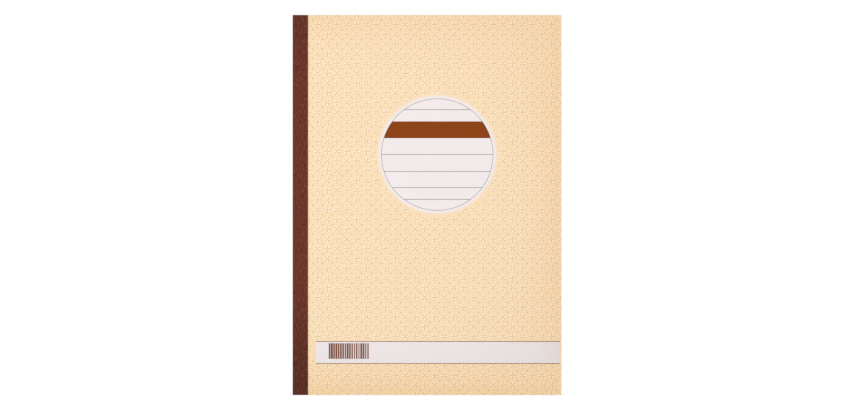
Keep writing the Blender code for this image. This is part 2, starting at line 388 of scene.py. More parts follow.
def print_stretch(obj, name, ink, x_range, y_range):
    """A flat print's films in one ink, cut clean between four places and laid onto the rising cover."""
    work = bmesh.new()
    work.from_mesh(obj.data)
    film = obj.data.materials.find(ink.name)
    others = [face for face in work.faces if face.material_index != film]
    bmesh.ops.delete(work, geom=others, context="FACES")
    for face in work.faces:
        face.material_index = 0
    (first, last), (foot, head) = x_range, y_range
    for spot, way in (
        ((first, 0, 0), (-1, 0, 0)), ((last, 0, 0), (1, 0, 0)),
        ((0, foot, 0), (0, -1, 0)), ((0, head, 0), (0, 1, 0)),
    ):
        cut_across(work, spot, way, keep_outer=False)
    lay_on_rise(work, first, last, COVER_FACE_Z - COVER_MARGIN_HIGH.z)
    piece = piece_from(name, work, ink)
    write_plan(piece)
    return piece


def bound_leaf(name, first, last, margin_z, leaf_z, *materials):
    """A stretch of a sheet or card that leaves the pressed margin and rises past the crease.

    Its face has the first material, and its back and cut edges have the last.
    """
    stations = [first]
    bend_first, bend_last = max(first, BEND_START_X), min(last, COVER_BEND_END_X)
    if bend_last > bend_first:
        stations += [x for x in lines_between(bend_first, bend_last, BEND_STEP) if x > first]
    if last > stations[-1]:
        stations.append(last)

    work = bmesh.new()
    rows = []
    for x in stations:
        low_z, high_z = (margin + (leaf - margin) * risen_share(x) for margin, leaf in zip(margin_z, leaf_z))
        corners = ((-HEAD_Y, low_z), (HEAD_Y, low_z), (HEAD_Y, high_z), (-HEAD_Y, high_z))
        rows.append([work.verts.new((x, y, z)) for y, z in corners])
    work.faces.new(rows[0][::-1])
    work.faces.new(rows[-1])
    for near, far in zip(rows, rows[1:]):
        join_rings(work, near, far)
    bmesh.ops.recalc_face_normals(work, faces=work.faces)
    upward = 0.5
    for face in work.faces:
        face.material_index = 0 if face.normal.z > upward else len(materials) - 1
    obj = piece_from(name, work, *materials)
    shade_round(obj)
    write_plan(obj)
    return obj


def laid_leaf(name, node, drop, paper):
    """A copy of a leaf's solid, with its slits, laid onto the same rise from the pressed margin."""
    work = bmesh.new()
    work.from_mesh(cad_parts[node].data)
    bmesh.ops.remove_doubles(work, verts=work.verts, dist=WELD_DISTANCE)
    low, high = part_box(node)
    lay_on_rise(work, low.x, high.x, drop)
    obj = piece_from(name, work, paper)
    shade_round(obj)
    write_plan(obj)
    return obj


# Node trees

FLOAT, INTEGER, VECTOR = "NodeSocketFloat", "NodeSocketInt", "NodeSocketVector"
GEOMETRY, MATERIAL = "NodeSocketGeometry", "NodeSocketMaterial"


def add(tree, kind, inputs=None, **settings):
    """Adds a node, with values or links for its inputs by name or number."""
    node = tree.nodes.new(kind)
    for name, value in settings.items():
        setattr(node, name, value)
    for name, value in (inputs or {}).items():
        if isinstance(value, bpy.types.NodeSocket):
            tree.links.new(value, node.inputs[name])
        else:
            node.inputs[name].default_value = value
    return node


def math_node(tree, operation, *values, clamp=False):
    node = add(tree, "ShaderNodeMath", dict(enumerate(values)), operation=operation, use_clamp=clamp)
    return node.outputs[0]


def times(tree, *values):
    return math_node(tree, "MULTIPLY", *values)


def plus(tree, *values, clamp=False):
    return math_node(tree, "ADD", *values, clamp=clamp)


def vector_node(tree, operation, *values):
    node = add(tree, "ShaderNodeVectorMath", dict(enumerate(values)), operation=operation)
    return node.outputs["Value" if operation == "DISTANCE" else "Vector"]


def combine(tree, **axes):
    return add(tree, "ShaderNodeCombineXYZ", axes).outputs[0]


def separate(tree, vector):
    return add(tree, "ShaderNodeSeparateXYZ", {0: vector}).outputs


def noise(tree, where, scale, detail=2.0, roughness=0.5):
    return add(tree, "ShaderNodeTexNoise", {
        "Vector": where, "Scale": scale, "Detail": detail, "Roughness": roughness,
    }).outputs["Fac"]


def ranged(tree, value, low=0.0, high=1.0, to_low=0.0, to_high=1.0, easing="LINEAR"):
    """A value moved from one range to another, and kept inside it."""
    return add(tree, "ShaderNodeMapRange", {
        "Value": value, "From Min": low, "From Max": high, "To Min": to_low, "To Max": to_high,
    }, interpolation_type=easing).outputs["Result"]


def new_group(name, kind, inputs, outputs):
    """A node group with sockets named by kind, as (tree, its inputs, its outputs)."""
    tree = bpy.data.node_groups.new(name, kind)
    for direction, sockets in (("INPUT", inputs), ("OUTPUT", outputs)):
        for socket_kind, names in sockets.items():
            for each in names:
                tree.interface.new_socket(name=each, in_out=direction, socket_type=socket_kind)
    return tree, tree.nodes.new("NodeGroupInput").outputs, tree.nodes.new("NodeGroupOutput").inputs


BUILT_GROUPS = {}


def built_once(maker):
    """The node group of a maker, which is built the first time that it is used."""
    if maker not in BUILT_GROUPS:
        BUILT_GROUPS[maker] = maker()
    return BUILT_GROUPS[maker]


def grow(name, maker, values):
    """The plain mesh that a maker's geometry tree gives with these values for its named inputs."""
    tree = built_once(maker)
    seed_mesh = bpy.data.meshes.new(name)
    obj = bpy.data.objects.new(name, seed_mesh)
    bpy.context.scene.collection.objects.link(obj)
    modifier = obj.modifiers.new(tree.name, "NODES")
    modifier.node_group = tree
    for item in tree.interface.items_tree:
        if item.in_out == "INPUT":
            modifier[item.identifier] = values[item.name]
    evaluated = obj.evaluated_get(bpy.context.evaluated_depsgraph_get())
    mesh = bpy.data.meshes.new_from_object(evaluated)
    obj.modifiers.remove(modifier)
    obj.data = mesh
    mesh.name = name
    bpy.data.meshes.remove(seed_mesh)
    if not mesh.polygons:
        raise RuntimeError(f"{name} came out empty")
    return obj


# Shader groups shared by the materials

def paper_fibre_group():
    """Fine fibres and soft clouds of paper or card, at real size."""
    tree, get, made = new_group(
        "paper fibre", "ShaderNodeTree", {VECTOR: ["Vector"], FLOAT: ["Fibre size", "Cloud size"]},
        {FLOAT: ["Fibres", "Clouds"]},
    )
    for output, size, detail in (("Fibres", "Fibre size", 3.0), ("Clouds", "Cloud size", 2.0)):
        per_metre = math_node(tree, "DIVIDE", 1.0, get[size])
        tree.links.new(noise(tree, get["Vector"], per_metre, detail, roughness=0.6), made[output])
    return tree


def cloth_weave_group():
    """Plain weave: warp and weft in turn, with slubs along the threads."""
    tree, get, made = new_group(
        "cloth weave", "ShaderNodeTree", {VECTOR: ["Vector"], FLOAT: ["Thread pitch"]},
        {FLOAT: ["Threads", "Slubs"]},
    )
    threads = vector_node(tree, "DIVIDE", get["Vector"], get["Thread pitch"])
    across = separate(tree, threads)
    warp, weft = (
        math_node(tree, "ABSOLUTE", math_node(tree, "SINE", times(tree, across[axis], math.pi)))
        for axis in ("X", "Y")
    )
    checks = add(tree, "ShaderNodeTexChecker", {
        "Vector": threads, "Color1": (1, 1, 1, 1), "Color2": (0, 0, 0, 1), "Scale": 1.0,
    }).outputs["Fac"]
    woven = add(tree, "ShaderNodeMix", {"Factor": checks, "A": warp, "B": weft}, data_type="FLOAT")
    tree.links.new(woven.outputs[0], made["Threads"])

    slubs = (
        noise(tree, vector_node(tree, "MULTIPLY", threads, stretch), 1.0, roughness=0.7)
        for stretch in ((0.25, 0.9, 1.0), (1.0, 0.10, 1.0))
    )
    tree.links.new(times(tree, plus(tree, *slubs), 0.5), made["Slubs"])
    return tree


def handled_edge_group():
    """1 at the edge of a rectangle about the middle, fading to 0 inwards, and further in at its corners."""
    tree, get, made = new_group(
        "handled edge", "ShaderNodeTree", {VECTOR: ["Vector", "Half size"], FLOAT: ["Reach", "Raggedness"]},
        {FLOAT: ["Edge"]},
    )
    from_middle = vector_node(tree, "ABSOLUTE", get["Vector"])
    to_edge = separate(tree, vector_node(tree, "SUBTRACT", get["Half size"], from_middle))
    both = times(tree, to_edge["X"], to_edge["Y"])
    nearest = math_node(tree, "DIVIDE", both, plus(tree, to_edge["X"], to_edge["Y"]))
    near = math_node(tree, "DIVIDE", nearest, get["Reach"])
    uneven = math_node(tree, "SUBTRACT", noise(tree, get["Vector"], scale=260.0, detail=3.0), 0.5)
    ragged = times(tree, uneven, get["Raggedness"])
    edge = math_node(tree, "SUBTRACT", 1.0, plus(tree, near, ragged), clamp=True)
    tree.links.new(math_node(tree, "POWER", edge, 2.0), made["Edge"])
    return tree


# Materials

def shader_group(tree, maker, inputs):
    """Places a shared shader group in a material."""
    return add(tree, "ShaderNodeGroup", inputs, node_tree=built_once(maker)).outputs


def new_material(name, roughness, metallic=0.0, specular=0.2):
    made = bpy.data.materials.new(name)
    made.use_nodes = True
    shader = made.node_tree.nodes["Principled BSDF"]
    shader.inputs["Roughness"].default_value = roughness
    shader.inputs["Metallic"].default_value = metallic
    shader.inputs["Specular IOR Level"].default_value = specular
    return made, made.node_tree, shader


def blend_colours(tree, factor, first, second):
    """A colour between two colours, each a socket or three linear values."""
    first, second = (
        value if isinstance(value, bpy.types.NodeSocket) else (*value, 1.0) for value in (first, second)
    )
    return add(tree, "ShaderNodeMix", {0: factor, 6: first, 7: second}, data_type="RGBA").outputs[2]


def darker(seen, factor):
    return tuple(value * factor for value in seen)


def bump(tree, shader, height, distance, strength=1.0):
    node = add(tree, "ShaderNodeBump", {"Height": height, "Distance": distance, "Strength": strength})
    tree.links.new(node.outputs["Normal"], shader.inputs["Normal"])


def place_on(tree, source):
    """The coordinates that a pattern reads: a named UV map, or the object's own space."""
    if source == "object":
        return add(tree, "ShaderNodeTexCoord").outputs["Object"]
    return add(tree, "ShaderNodeUVMap", uv_map=source).outputs["UV"]


def paper_material(name, seen, source, roughness, contrast, fibre=0.5 * MM, relief=0.004 * MM,
                   edge_tone=None, worn=None):
    """Paper or card: its colour broken by clouds and fibres, with a faint relief.

    The head, foot and fore-edge can turn towards a darker colour and, close to the edge, be worn towards
    another.
    """
    made, tree, shader = new_material(name, roughness)
    where = place_on(tree, source)
    texture = shader_group(tree, paper_fibre_group, {
        "Vector": where, "Fibre size": fibre, "Cloud size": CLOUD_SIZE,
    })
    tone = blend_colours(tree, texture["Clouds"], darker(seen, 1.0 - contrast), darker(seen, 1.0 + contrast))
    tone = blend_colours(tree, times(tree, texture["Fibres"], contrast * 2.0), tone, darker(seen, 0.55))
    for towards, (reach, raggedness, strength, past_fore_edge, past_head) in ((edge_tone, EDGE_TONING), (worn, WEAR)):
        if towards is not None:
            middle = (past_fore_edge / 2 - SPARED_SPINE, past_head / 2, 0.0)
            edge = shader_group(tree, handled_edge_group, {
                "Vector": vector_node(tree, "SUBTRACT", where, middle),
                "Half size": (FORE_EDGE_X + past_fore_edge - middle[0], HEAD_Y + past_head / 2, 0.0),
                "Reach": reach, "Raggedness": raggedness,
            })["Edge"]
            tone = blend_colours(tree, times(tree, edge, strength), tone, towards)
    tree.links.new(tone, shader.inputs["Base Color"])
    rough = ranged(tree, texture["Fibres"], to_low=roughness - 0.06, to_high=roughness + 0.06)
    tree.links.new(rough, shader.inputs["Roughness"])
    bump(tree, shader, texture["Fibres"], relief)
    return made


def ink_material(name, seen, edge_tone=None, contrast=0.02, specular=0.2):
    """Ink on card, with the fibres showing through."""
    made = paper_material(name, seen, "plan", 0.6, contrast, 0.4 * MM, 0.002 * MM, edge_tone)
    made.node_tree.nodes["Principled BSDF"].inputs["Specular IOR Level"].default_value = specular
    return made


def label_material(name, cover):
    """The label's pale fill, whose outer edge fades into the printed ground."""
    made = ink_material(name, cover.paper)
    tree = made.node_tree
    shown = tree.nodes["Principled BSDF"].inputs["Base Color"]
    fill = shown.links[0].from_socket
    out = vector_node(tree, "DISTANCE", place_on(tree, "plan"), (cover.label_x, cover.label_y, 0.0))
    faded = ranged(tree, out, cover.label_radius, cover.halo_radius, easing="SMOOTHSTEP")
    tree.links.new(blend_colours(tree, faded, fill, cover.ground), shown)
    return made


def cloth_material(name, tape):
    """Book cloth: woven threads with slubs; painted shade between the threads and towards the foot and head;
    a painted highlight on proud threads.
    """
    made, tree, shader = new_material(name, 0.85, specular=0.08)
    shader.inputs["Sheen Weight"].default_value = 0.12
    shader.inputs["Sheen Roughness"].default_value = 0.5
    where = place_on(tree, "wrap")
    weave = shader_group(tree, cloth_weave_group, {"Vector": where, "Thread pitch": tape.thread_pitch})
    clouds = shader_group(tree, paper_fibre_group, {
        "Vector": where, "Cloud size": 18 * MM, "Fibre size": 1.2 * MM,
    })["Clouds"]
    # Painted shade between the threads, added to the darker slubs.
    between = times(tree, math_node(tree, "SUBTRACT", 1.0, weave["Threads"]), 0.24)
    depth = plus(tree, between, ranged(tree, weave["Slubs"], low=0.36, high=0.64, to_high=0.5))
    along = separate(tree, where)["Y"]
    # Painted shade: darker towards the foot and, less, towards the head, where the light falls off.
    foot = ranged(tree, along, low=-0.35 * HEAD_Y, high=-HEAD_Y, to_high=0.42, easing="SMOOTHSTEP")
    head = ranged(tree, along, low=0.6 * HEAD_Y, high=HEAD_Y, to_high=0.14, easing="SMOOTHSTEP")
    mottled = plus(tree, depth, times(tree, clouds, 0.12))
    dark = plus(tree, mottled, plus(tree, foot, head), clamp=True)
    cloth_with_painted_shade = blend_colours(tree, dark, darker(tape.cloth, 1.22), tape.cloth_dark)
    # Painted highlight on the threads that stand proud, in the lighter sheen colour.
    proud = ranged(tree, weave["Slubs"], low=0.52, high=0.38, to_high=0.24)
    tree.links.new(blend_colours(tree, proud, cloth_with_painted_shade, tape.cloth_painted_highlight), shader.inputs["Base Color"])
    bump(tree, shader, weave["Threads"], 0.05 * MM, 0.7)
    return made


def board_material(name, seen):
    """Grey board: recycled fibres in several tones, with lighter rubbed edges."""
    made, tree, shader = new_material(name, 0.82)
    where = place_on(tree, "object")
    coarse = shader_group(tree, paper_fibre_group, {
        "Vector": where, "Fibre size": 0.9 * MM, "Cloud size": 12 * MM,
    })
    specks = ranged(tree, noise(tree, where, scale=1400.0, detail=1.0), low=0.62, high=0.72, to_high=0.5)
    edge = shader_group(tree, handled_edge_group, {
        "Vector": where, "Half size": (FORE_EDGE_X, HEAD_Y, 0.0), "Reach": 1.6 * MM, "Raggedness": 0.8,
    })["Edge"]
    tone = blend_colours(tree, coarse["Clouds"], darker(seen, 0.94), darker(seen, 1.06))
    for share, factor in (
        (times(tree, coarse["Fibres"], 0.22), 0.6), (specks, 0.45), (times(tree, edge, 0.5), 1.25),
    ):
        tone = blend_colours(tree, share, tone, darker(seen, factor))
    tree.links.new(tone, shader.inputs["Base Color"])
    bump(tree, shader, coarse["Fibres"], 0.02 * MM)
    return made


def wire_material(name):
    """Drawn steel wire, with fine lines along it."""
    made, tree, shader = new_material(name, 0.32, metallic=1.0)
    stretched = vector_node(tree, "MULTIPLY", place_on(tree, "object"), (9000.0, 300.0, 300.0))
    drawn = noise(tree, stretched, 1.0)
    tone = blend_colours(tree, drawn, srgb(176, 176, 174), srgb(214, 214, 212))
    tree.links.new(tone, shader.inputs["Base Color"])
    tree.links.new(ranged(tree, drawn, to_low=0.24, to_high=0.42), shader.inputs["Roughness"])
    return made


def glue_material(name):
    """Dried white glue: a smooth, yellowish film with small bubbles."""
    made, tree, shader = new_material(name, 0.35)
    bubbles = add(tree, "ShaderNodeTexVoronoi", {"Vector": place_on(tree, "object"), "Scale": 900.0})
    rounded = ranged(tree, bubbles.outputs["Distance"], high=0.4)
    tone = blend_colours(tree, rounded, srgb(196, 180, 140), srgb(224, 212, 178))
    tree.links.new(tone, shader.inputs["Base Color"])
    bump(tree, shader, rounded, 0.02 * MM)
    return made


def finishes():
    """How each material is made: its maker, and what the maker takes after the material's name.

    Paper takes its colour, what its pattern follows, roughness, contrast, fibre size, relief, and the colours
    that it darkens to towards its head, foot and fore-edge and wears to. Ink takes its colour, the colour
    that it darkens to towards the edges, contrast and gloss.
    """
    scene = bpy.context.scene
    cover, tape, sheets = scene.order_book_cover, scene.order_book_tape, scene.order_book_sheets

    # An ink darkens towards the edges by the same share as the ground.
    def edge_tone(ink):
        return tuple(value * old / new for value, old, new in zip(ink, cover.edge_tone, cover.ground))

    return {
        "cover ground": (
            paper_material, cover.ground, "plan", 0.6, 0.015, 0.5 * MM, 0.003 * MM, cover.edge_tone, cover.inside,
        ),
        "cover inside": (paper_material, cover.inside, "plan", 0.68, 0.02),
        "petal ink": (ink_material, cover.petal, edge_tone(cover.petal)),
        "shade ink": (ink_material, cover.shade, edge_tone(cover.shade)),
        "stroke ink": (ink_material, cover.stroke, edge_tone(cover.stroke)),
        "label paper": (label_material, cover),
        "rule ink": (ink_material, cover.rule),
        "band ink": (ink_material, cover.band, None, 0.05, 0.05),
        "strip paper": (ink_material, cover.strip_fill, cover.strip_edge_tone),
        "strip ink": (ink_material, cover.strip_rule),
        "bar ink": (ink_material, cover.bar, None, 0.05, 0.05),
        "book cloth": (cloth_material, tape),
        "original paper": (paper_material, sheets.original, "object", 0.7, 0.012),
        "copy paper": (paper_material, sheets.copy, "object", 0.7, 0.015),
        "bent original paper": (paper_material, sheets.original, "plan", 0.7, 0.012),
        "bent copy paper": (paper_material, sheets.copy, "plan", 0.7, 0.015),
        "form ink": (ink_material, sheets.form_ink),
        "form tint": (ink_material, sheets.form_tint),
        "shield card": (paper_material, sheets.shield, "object", 0.7, 0.05, 0.8 * MM, 0.01 * MM),
        "grey board": (board_material, sheets.board),
        "staple wire": (wire_material,),
        "dried glue": (glue_material,),
    }


MATERIALS = {}


def material(name):
    """The finished material of that name, made the first time that a piece asks for it."""
    if name not in MATERIALS:
        maker, *values = finishes()[name]
        MATERIALS[name] = maker(name, *values)
    return MATERIALS[name]


def dress(node, name):
    """Gives a CAD node that stays as it is a finished material."""
    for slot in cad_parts[node].material_slots:
        slot.material = material(name)


def layer(first, last=None):
    """The lower and upper height of the ink films from one to another, counted up from the cover's face."""
    return COVER_FACE_Z + (first - 1) * INK_DEPTH - INK_SUNK, COVER_FACE_Z + (last or first) * INK_DEPTH


# Geometry trees

# The florets' inputs that have the names of the cover's settings and of the inks
MOTIF_SIZES = (
    "Petal length", "Petal width", "Petal reach", "Stroke length", "Stroke width", "Stroke reach", "Dot size",
)
MOTIF_INKS = ("Petal ink", "Shade ink", "Stroke ink")


def realized(tree, instances):
    return add(tree, "GeometryNodeRealizeInstances", {"Geometry": instances}).outputs[0]


def on_points(tree, points, shape, **more):
    return add(tree, "GeometryNodeInstanceOnPoints", {"Points": points, "Instance": shape, **more}).outputs[0]


def inked(tree, mesh, ink, **more):
    return add(tree, "GeometryNodeSetMaterial", {"Geometry": mesh, "Material": ink, **more}).outputs[0]


def moved(tree, mesh, **more):
    return add(tree, "GeometryNodeSetPosition", {"Geometry": mesh, **more}).outputs[0]


def point_line(tree, number, start=(0.0, 0.0, 0.0), step=(0.0, 0.0, 0.0)):
    """A row of points."""
    return add(tree, "GeometryNodeMeshLine", {
        "Count": number, "Start Location": start, "Offset": step,
    }).outputs["Mesh"]


def box(tree, size):
    return add(tree, "GeometryNodeMeshCube", {"Size": size}).outputs["Mesh"]


def florets_tree():
    """Rows and columns of small four-petalled florets, every other one turned, with a dot between each four.

    Florets that the label or the strip would hide are left out.
    """
    tree, get, made = new_group("florets", "GeometryNodeTree", {
        INTEGER: ["Columns", "Rows", "Petal corners"],
        VECTOR: ["Low corner", "Pitch", "Shade offset", "Layer step", "Label middle"],
        FLOAT: [*MOTIF_SIZES, "Depth", "Label hidden", "Strip low", "Strip high"],
        MATERIAL: MOTIF_INKS,
    }, {GEOMETRY: ["Geometry"]})

    index = add(tree, "GeometryNodeInputIndex").outputs[0]
    columns, rows = (
        moved(tree, point_line(tree, get[number]), Position=combine(tree, **{axis: index}))
        for number, axis in (("Columns", "X"), ("Rows", "Y"))
    )
    cell = add(tree, "GeometryNodeInputPosition").outputs[0]
    steps = separate(tree, cell)
    number = math_node(tree, "ROUND", plus(tree, steps["X"], steps["Y"]))
    marked = add(tree, "GeometryNodeStoreNamedAttribute", {
        "Geometry": realized(tree, on_points(tree, rows, columns)), "Name": "turned",
        "Value": math_node(tree, "FLOORED_MODULO", number, 2.0),
    }, data_type="FLOAT", domain="POINT").outputs[0]
    spot = vector_node(tree, "ADD", vector_node(tree, "MULTIPLY", cell, get["Pitch"]), get["Low corner"])
    spread = moved(tree, marked, Position=spot)

    here = add(tree, "GeometryNodeInputPosition").outputs[0]
    out = vector_node(tree, "DISTANCE", here, get["Label middle"])
    under_label = math_node(tree, "LESS_THAN", out, get["Label hidden"])
    height = separate(tree, here)["Y"]
    under_strip = times(
        tree, math_node(tree, "GREATER_THAN", height, get["Strip low"]),
        math_node(tree, "LESS_THAN", height, get["Strip high"]),
    )
    shown = add(tree, "GeometryNodeDeleteGeometry", {
        "Geometry": spread, "Selection": math_node(tree, "MAXIMUM", under_label, under_strip),
    }, domain="POINT").outputs[0]

    round_petal = add(tree, "GeometryNodeMeshCylinder", {
        "Vertices": get["Petal corners"], "Radius": 0.5, "Depth": get["Depth"],
    }, fill_type="NGON").outputs["Mesh"]
    petal = add(tree, "GeometryNodeTransform", {
        "Geometry": round_petal, "Scale": combine(tree, X=get["Petal length"], Y=get["Petal width"], Z=1.0),
        "Translation": combine(tree, X=get["Petal reach"]),
    }).outputs[0]
    stroke = add(tree, "GeometryNodeTransform", {
        "Geometry": box(tree, combine(tree, X=get["Stroke length"], Y=get["Stroke width"], Z=get["Depth"])),
        "Translation": combine(tree, X=get["Stroke reach"]),
    }).outputs[0]
    whorl = point_line(tree, 4)
    quarter = times(tree, add(tree, "GeometryNodeInputIndex").outputs[0], math.pi / 2)
    petals, strokes = (
        on_points(tree, whorl, one, Rotation=combine(tree, Z=plus(tree, quarter, first_turn)))
        for one, first_turn in ((petal, 0.0), (stroke, math.pi / 4))
    )
    dot = box(tree, combine(tree, X=get["Dot size"], Y=get["Dot size"], Z=get["Depth"]))

    turned = add(tree, "GeometryNodeInputNamedAttribute", {"Name": "turned"}, data_type="FLOAT").outputs[0]
    floret_turn = combine(tree, Z=times(tree, turned, math.pi / 4))
    half_pitch = vector_node(tree, "MULTIPLY", get["Pitch"], (0.5, 0.5, 0.0))
    two_steps = vector_node(tree, "ADD", get["Layer step"], get["Layer step"])
    whole = add(tree, "GeometryNodeJoinGeometry")
    for shape, offset, turn, ink in (
        (petals, get["Shade offset"], floret_turn, "Shade ink"),
        (petals, get["Layer step"], floret_turn, "Petal ink"),
        (strokes, two_steps, floret_turn, "Stroke ink"),
        (dot, half_pitch, (0.0, 0.0, math.pi / 4), "Stroke ink"),
    ):
        field = on_points(tree, moved(tree, shown, Offset=offset), shape, Rotation=turn)
        tree.links.new(inked(tree, realized(tree, field), get[ink]), whole.inputs[0])
    tree.links.new(whole.outputs[0], made["Geometry"])
    return tree


def plain_bars_tree():
    """A row of upright bars of uneven width at an even pitch, which say nothing."""
    tree, get, made = new_group("plain bars", "GeometryNodeTree", {
        INTEGER: ["Bars", "Seed"], VECTOR: ["Low corner"],
        FLOAT: ["Pitch", "Height", "Depth", "Thinnest", "Widest"], MATERIAL: ["Ink"],
    }, {GEOMETRY: ["Geometry"]})
    row = point_line(tree, get["Bars"], get["Low corner"], combine(tree, X=get["Pitch"]))
    width = add(tree, "FunctionNodeRandomValue", {
        2: get["Thinnest"], 3: get["Widest"], "Seed": get["Seed"],
    }, data_type="FLOAT").outputs[1]
    size = combine(tree, X=times(tree, width, get["Pitch"]), Y=get["Height"], Z=get["Depth"])
    bars = on_points(tree, row, box(tree, (1.0, 1.0, 1.0)), Scale=size)
    tree.links.new(inked(tree, realized(tree, bars), get["Ink"]), made["Geometry"])
    return tree


def sheet_pile_tree():
    """A pile of thin sheets, copies and originals in turn, each trimmed a little unevenly."""
    tree, get, made = new_group("sheet pile", "GeometryNodeTree", {
        INTEGER: ["Sheets", "Seed"], VECTOR: ["Low corner", "Sheet size", "Scatter"], FLOAT: ["Pitch"],
        MATERIAL: ["Original", "Copy"],
    }, {GEOMETRY: ["Geometry"]})
    half = vector_node(tree, "MULTIPLY", get["Sheet size"], (0.5, 0.5, 0.5))
    lowest = vector_node(tree, "ADD", get["Low corner"], half)
    pile = point_line(tree, get["Sheets"], lowest, combine(tree, Z=get["Pitch"]))
    scattered = add(tree, "FunctionNodeRandomValue", {
        0: (0.0, 0.0, 0.0), 1: (1.0, 1.0, 0.0), "Seed": get["Seed"],
    }, data_type="FLOAT_VECTOR").outputs[0]
    short = vector_node(tree, "MULTIPLY", scattered, get["Scatter"])
    sheets = on_points(
        tree, pile, box(tree, (1.0, 1.0, 1.0)), Scale=vector_node(tree, "SUBTRACT", get["Sheet size"], short),
    )
    trimmed = add(tree, "GeometryNodeTranslateInstances", {
        "Instances": sheets, "Translation": vector_node(tree, "MULTIPLY", short, (-0.5, 0.0, 0.0)),
    }).outputs[0]
    order = math_node(tree, "FLOORED_MODULO", add(tree, "GeometryNodeInputIndex").outputs[0], 2.0)
    marked = add(tree, "GeometryNodeStoreNamedAttribute", {
        "Geometry": trimmed, "Name": "original", "Value": order,
    }, data_type="FLOAT", domain="INSTANCE").outputs[0]
    mark = add(tree, "GeometryNodeInputNamedAttribute", {"Name": "original"}, data_type="FLOAT").outputs[0]
    copies = inked(tree, realized(tree, marked), get["Copy"])
    tree.links.new(inked(tree, copies, get["Original"], Selection=mark), made["Geometry"])
    return tree


def form_rows_tree():
    """The even rules between the rows of the printed form."""
    tree, get, made = new_group("form rows", "GeometryNodeTree", {
        INTEGER: ["Rules"], VECTOR: ["First rule", "Rule size"], FLOAT: ["Pitch"], MATERIAL: ["Ink"],
    }, {GEOMETRY: ["Geometry"]})
    down = combine(tree, Y=times(tree, get["Pitch"], -1.0))
    rows = point_line(tree, get["Rules"], get["First rule"], down)
    rules = on_points(tree, rows, box(tree, get["Rule size"]))
    tree.links.new(inked(tree, realized(tree, rules), get["Ink"]), made["Geometry"])
    return tree


# Operators

class ORDER_BOOK_OT_front_cover(bpy.types.Operator):
    """Make the front cover's card, from under the tape over the crease to the fore-edge"""

    bl_idname = "order_book.front_cover"
    bl_label = "Front cover"

    def execute(self, context):
        margin_z = (COVER_MARGIN_LOW.z, COVER_MARGIN_HIGH.z)
        leaf_z = (COVER_LOW.z, COVER_FACE_Z)
        card = (material("cover ground"), material("cover inside"))
        for name, first, last, fixed, turning, *node in (
            ("bound", COVER_MARGIN_LOW.x, COPY_BEND_END_X, BINDING, COPY, "front_cover_margin"),
            ("crease", COPY_BEND_END_X, ORIGINAL_BEND_END_X, COPY, ORIGINAL),
            ("leaf", ORIGINAL_BEND_END_X, FORE_EDGE_X, ORIGINAL, COVER, "front_cover"),
        ):
            piece = bound_leaf("cover_card_" + name, first, last, margin_z, leaf_z, *card)
            bend(piece, fixed, turning, first, last, "cover_card", *node)
        return {"FINISHED"}


class ORDER_BOOK_OT_cover_ornament(bpy.types.Operator):
    """Print the front cover's small all-over florets"""

    bl_idname = "order_book.cover_ornament"
    bl_label = "Cover ornament"

    bleed_short = 0.02 * MM
    petal_corners = 10

    def execute(self, context):
        cover = context.scene.order_book_cover
        pitch_x = (FORE_EDGE_X - TAPE_HIGH.x) / cover.columns
        pitch_y = 2 * HEAD_Y / cover.rows
        motif = cover.petal_reach + cover.petal_length / 2
        low_z, high_z = layer(ORNAMENT_LAYER)
        middle_z = (low_z + high_z) / 2
        flat = grow("ornament", florets_tree, {
            "Columns": cover.columns + 2, "Rows": cover.rows + 2, "Petal corners": self.petal_corners,
            "Low corner": (TAPE_HIGH.x - pitch_x, -HEAD_Y - pitch_y, middle_z),
            "Pitch": (pitch_x, pitch_y, 0.0), "Layer step": (0.0, 0.0, INK_DEPTH), "Depth": high_z - low_z,
            "Shade offset": (cover.shade_offset, -cover.shade_offset, 0.0),
            "Label middle": (cover.label_x, cover.label_y, middle_z),
            "Label hidden": cover.halo_radius - motif - pitch_x,
            "Strip low": cover.strip_bottom + motif, "Strip high": cover.strip_top - motif - pitch_y,
            **{size: getattr(cover, size.lower().replace(" ", "_")) for size in MOTIF_SIZES},
            **{ink: material(ink.lower()) for ink in MOTIF_INKS},
        })
        y_range = (-HEAD_Y + self.bleed_short, HEAD_Y - self.bleed_short)
        for stretch, first, last, fixed, turning in (
            ("crease", COPY_BEND_END_X, ORIGINAL_BEND_END_X, COPY, ORIGINAL),
            ("leaf", ORIGINAL_BEND_END_X, FORE_EDGE_X - self.bleed_short, ORIGINAL, COVER),
        ):
            for film in ("shade", "petal", "stroke"):
                ink = material(film + " ink")
                piece = print_stretch(flat, f"{film}s_{stretch}", ink, (first, last), y_range)
                bend(piece, fixed, turning, first, last, "cover_card")
        bpy.data.objects.remove(flat)
        return {"FINISHED"}


